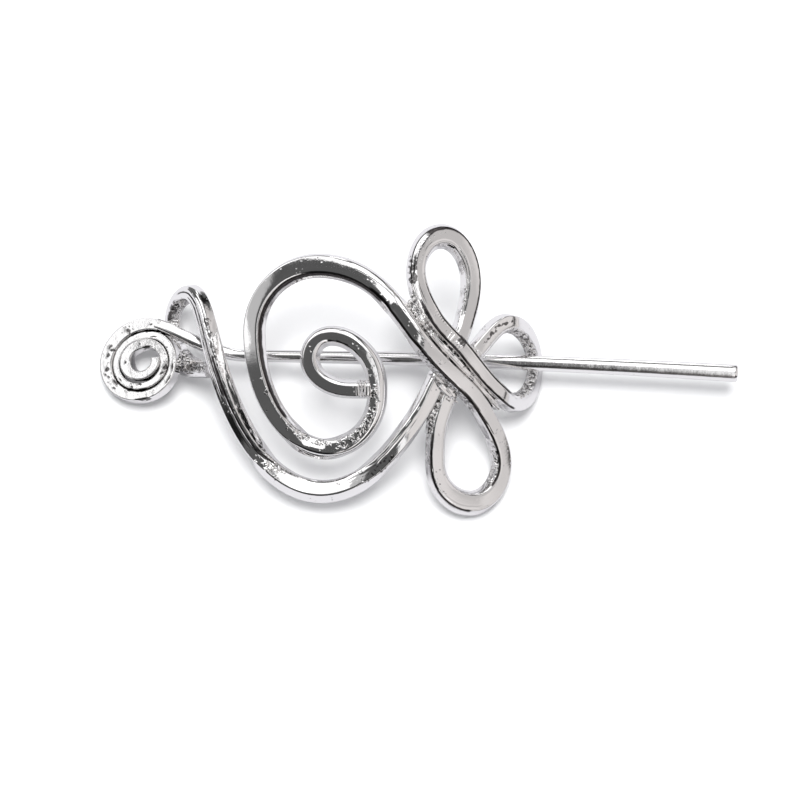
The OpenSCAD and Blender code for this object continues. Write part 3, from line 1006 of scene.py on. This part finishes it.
# %% Spiral ribbon
TURNS = [
    (62, 7.8, 2.3, 1.1), (75, 7.6, 2.7, 1.1), (90, 7.3, 2.9, 1.1), (135, 6.8, 2.9, 1.1), (180, 6.8, 2.8, 1.1),
    (225, 6.7, 2.7, 1.1), (270, 6.3, 2.4, 1.1), (315, 6.45, 2.1, 1.1), (360, 6.5, 1.9, 1.1),
    (405, 6.2, 1.8, 1.0), (450, 5.1, 1.6, 0.8), (495, 4.8, 1.5, 0.8), (540, 4.85, 1.5, 0.8),
    (585, 4.75, 1.6, 0.8), (630, 4.35, 1.7, 0.8), (675, 4.6, 2.0, 0.9), (720, 4.75, 2.1, 0.9),
    (765, 4.4, 2.1, 0.95), (810, 3.5, 2.2, 1.05), (855, 3.25, 2.2, 1.1), (900, 2.9, 2.6, 1.1),
    (945, 2.65, 2.4, 1.1), (990, 2.35, 2.2, 1.1), (1035, 2.6, 2.4, 1.1),
]
HOOK = [(2.6, -1.2), (3.2, -0.6), (3.0, 0.8)]
TURN_RINGS, HOOK_RINGS, TURN_PASSES, HOOK_PASSES = 430, 22, 50, 6


def head_path():
    """The ribbon's middle line, its width and its height: the turns, then the hook as a cubic curve."""
    angle, *columns = zip(*TURNS)
    angles = np.linspace(angle[0], angle[-1], TURN_RINGS)
    columns = np.array([np.interp(angles, angle, column) for column in columns])
    radius, wide, high = smoothed(columns.T, TURN_PASSES).T
    turn = np.radians(angles)
    spots = np.stack([radius * np.cos(turn), radius * np.sin(turn), wide, high], axis=1)
    p = [spots[-1], *(np.array([*spot, *spots[-1, 2:]]) for spot in HOOK)]
    hook = [cubic(p, t) for t in np.linspace(0, 1, HOOK_RINGS)[1:]]
    return smoothed(np.vstack([spots, hook]), HOOK_PASSES)


spiral = head_path()
ribbon_ways = unit(np.gradient(spiral[:, :2], axis=0))
print("ribbon, mm:", round(float(np.linalg.norm(np.diff(spiral[:, :2], axis=0), axis=1).sum()), 1))

# %% [markdown]
# ## The hammer's dents
#
# The hammer left dents in the face, and the face is darker in them, most at their
# middles. A bump in the material would shade them, but they are deep enough to bend the
# edge lines, so they are pressed into the rings themselves. Each row is a place on the
# head, to the right and up from its middle, the dent's length and width in millimetres,
# and the angle at which it lies. A dent's depth is a fifth of its width.

# %% Dents
DENTS = np.array([
    (-2.4, 6.4, 0.8, 0.35, -10), (-2.1, 5.9, 0.5, 0.3, -50), (-5.85, 3.4, 0.7, 0.35, 40),
    (-5.3, 2.85, 0.7, 0.4, 0), (-6.2, 1.8, 0.7, 0.35, 70), (-6.35, -0.9, 0.8, 0.4, 80),
    (-6.7, -1.9, 0.5, 0.25, -60), (-6.0, -2.4, 0.6, 0.25, -50), (-4.6, -3.6, 1.0, 0.3, -50),
    (-4.9, -4.6, 0.6, 0.22, -25), (2.2, 7.2, 0.35, 0.2, 20), (4.4, 6.9, 0.4, 0.2, -20),
    (5.2, 6.2, 0.45, 0.35, 0), (1.6, 5.95, 1.6, 0.35, -3), (-1.1, 5.6, 1.0, 0.25, 20),
    (-2.1, -5.2, 0.6, 0.35, -10), (0.3, -5.5, 1.5, 0.22, 2), (-0.2, -3.5, 1.4, 0.35, 5),
    (0.0, -4.1, 0.5, 0.35, 0), (0.9, -7.0, 2.4, 0.25, 3), (4.1, -6.1, 1.0, 0.25, 30),
    (6.5, -1.2, 1.2, 0.25, 85), (5.7, -3.6, 1.2, 0.22, 60), (3.6, -4.0, 1.1, 0.25, 35),
    (-3.8, -3.0, 0.5, 0.2, -50), (-2.75, 0.2, 0.45, 0.25, 70), (1.4, 2.9, 1.6, 0.3, 0),
    (5.0, -1.1, 0.7, 0.45, 60), (4.5, -2.2, 0.6, 0.3, 30), (2.6, 4.8, 0.8, 0.2, -5),
    (0.0, 3.6, 0.4, 0.2, -60), (-3.9, -1.2, 0.35, 0.2, 80), (-1.5, -4.5, 0.45, 0.22, -50),
])
DENT_AT, DENT_SIZE, DENT_WIDTH = DENTS[:, :2], DENTS[:, 2:4], DENTS[:, 3]
DENT_COS, DENT_SIN = np.cos(np.radians(DENTS[:, 4])), np.sin(np.radians(DENTS[:, 4]))
DENT_DEPTH, DENT_STEEP = 0.2, 2


def dent_shares(spot):
    """How deep in each of the dents a spot is, from 0 to 1."""
    right, up = (spot - DENT_AT).T
    turned = np.stack([right * DENT_COS + up * DENT_SIN, up * DENT_COS - right * DENT_SIN], axis=1)
    return np.exp(-DENT_STEEP * ((turned / DENT_SIZE) ** 2).sum(axis=1))


print("dents:", len(DENTS))

# %% [markdown]
# ## The head
#
# Now the ribbon is wrapped like the strand. Its face is broader where the turns pass the
# top left. Its outline has extra points across the face, because a dent can only be
# pressed in where there are points to press.

# %% Head
HEAD_T, FACE_OF_RIBBON, TOP_LEFT_MORE = 2.2, 0.76, 0.07
ACROSS_FACE = (0.82, 0.66, 0.5, 0.33, 0.16)
HEAD_BACK_CUT, HEAD_FACE_CUT, HEAD_CORNER_POINTS = 0.4, 0.25, 7


def turn_section(i, out):
    """The ribbon's outline: a flat face, steep flanks and a flat back. out is the way to its outer edge."""
    base, low, high = spiral[i, 2] / 2, -HEAD_T / 2, spiral[i, 3]
    face = base * (FACE_OF_RIBBON + TOP_LEFT_MORE * (out[1] - out[0]))
    corners = [(0, low), (base, low), (face, high), *((face * k, high) for k in ACROSS_FACE), (0, high)]
    cuts = [0, HEAD_BACK_CUT, HEAD_FACE_CUT, *[0] * (len(ACROSS_FACE) + 1)]
    half = rounded(corners, cuts, HEAD_CORNER_POINTS)
    return closed(half, half)


def head_ring(i):
    """One ring of the head, and how deep in a dent each of its points is, from 0 to 1."""
    out = ribbon_ways[i, ::-1] * [1, -1]
    ring, depths = [], []
    for sideways, up in turn_section(i, out):
        spot = spiral[i, :2] + out * sideways
        shares = dent_shares(spot) * (up > 0)
        ring.append(on_head(*spot, up - DENT_DEPTH * (shares @ DENT_WIDTH)))
        depths.append(shares.max())
    return ring, depths


head_rings, depths = zip(*(head_ring(i) for i in range(len(spiral))))
# The head is darker in its dents, most at their middles.
head = wrap_bar("stick_head", head_rings, head_metal, {"darkened": depths})

# %% [markdown]
# ## Putting the pieces on their bodies
#
# The strand stands for the imported slide, and shank and head stand for the imported stick.
# Each rides on its body, so that they follow when the stick is pulled out.

# %% Ride and replace
for piece in (strand, *fills):
    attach(piece, "slide")
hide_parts("slide")
for piece in (shank, head):
    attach(piece, "stick")
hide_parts("stick")
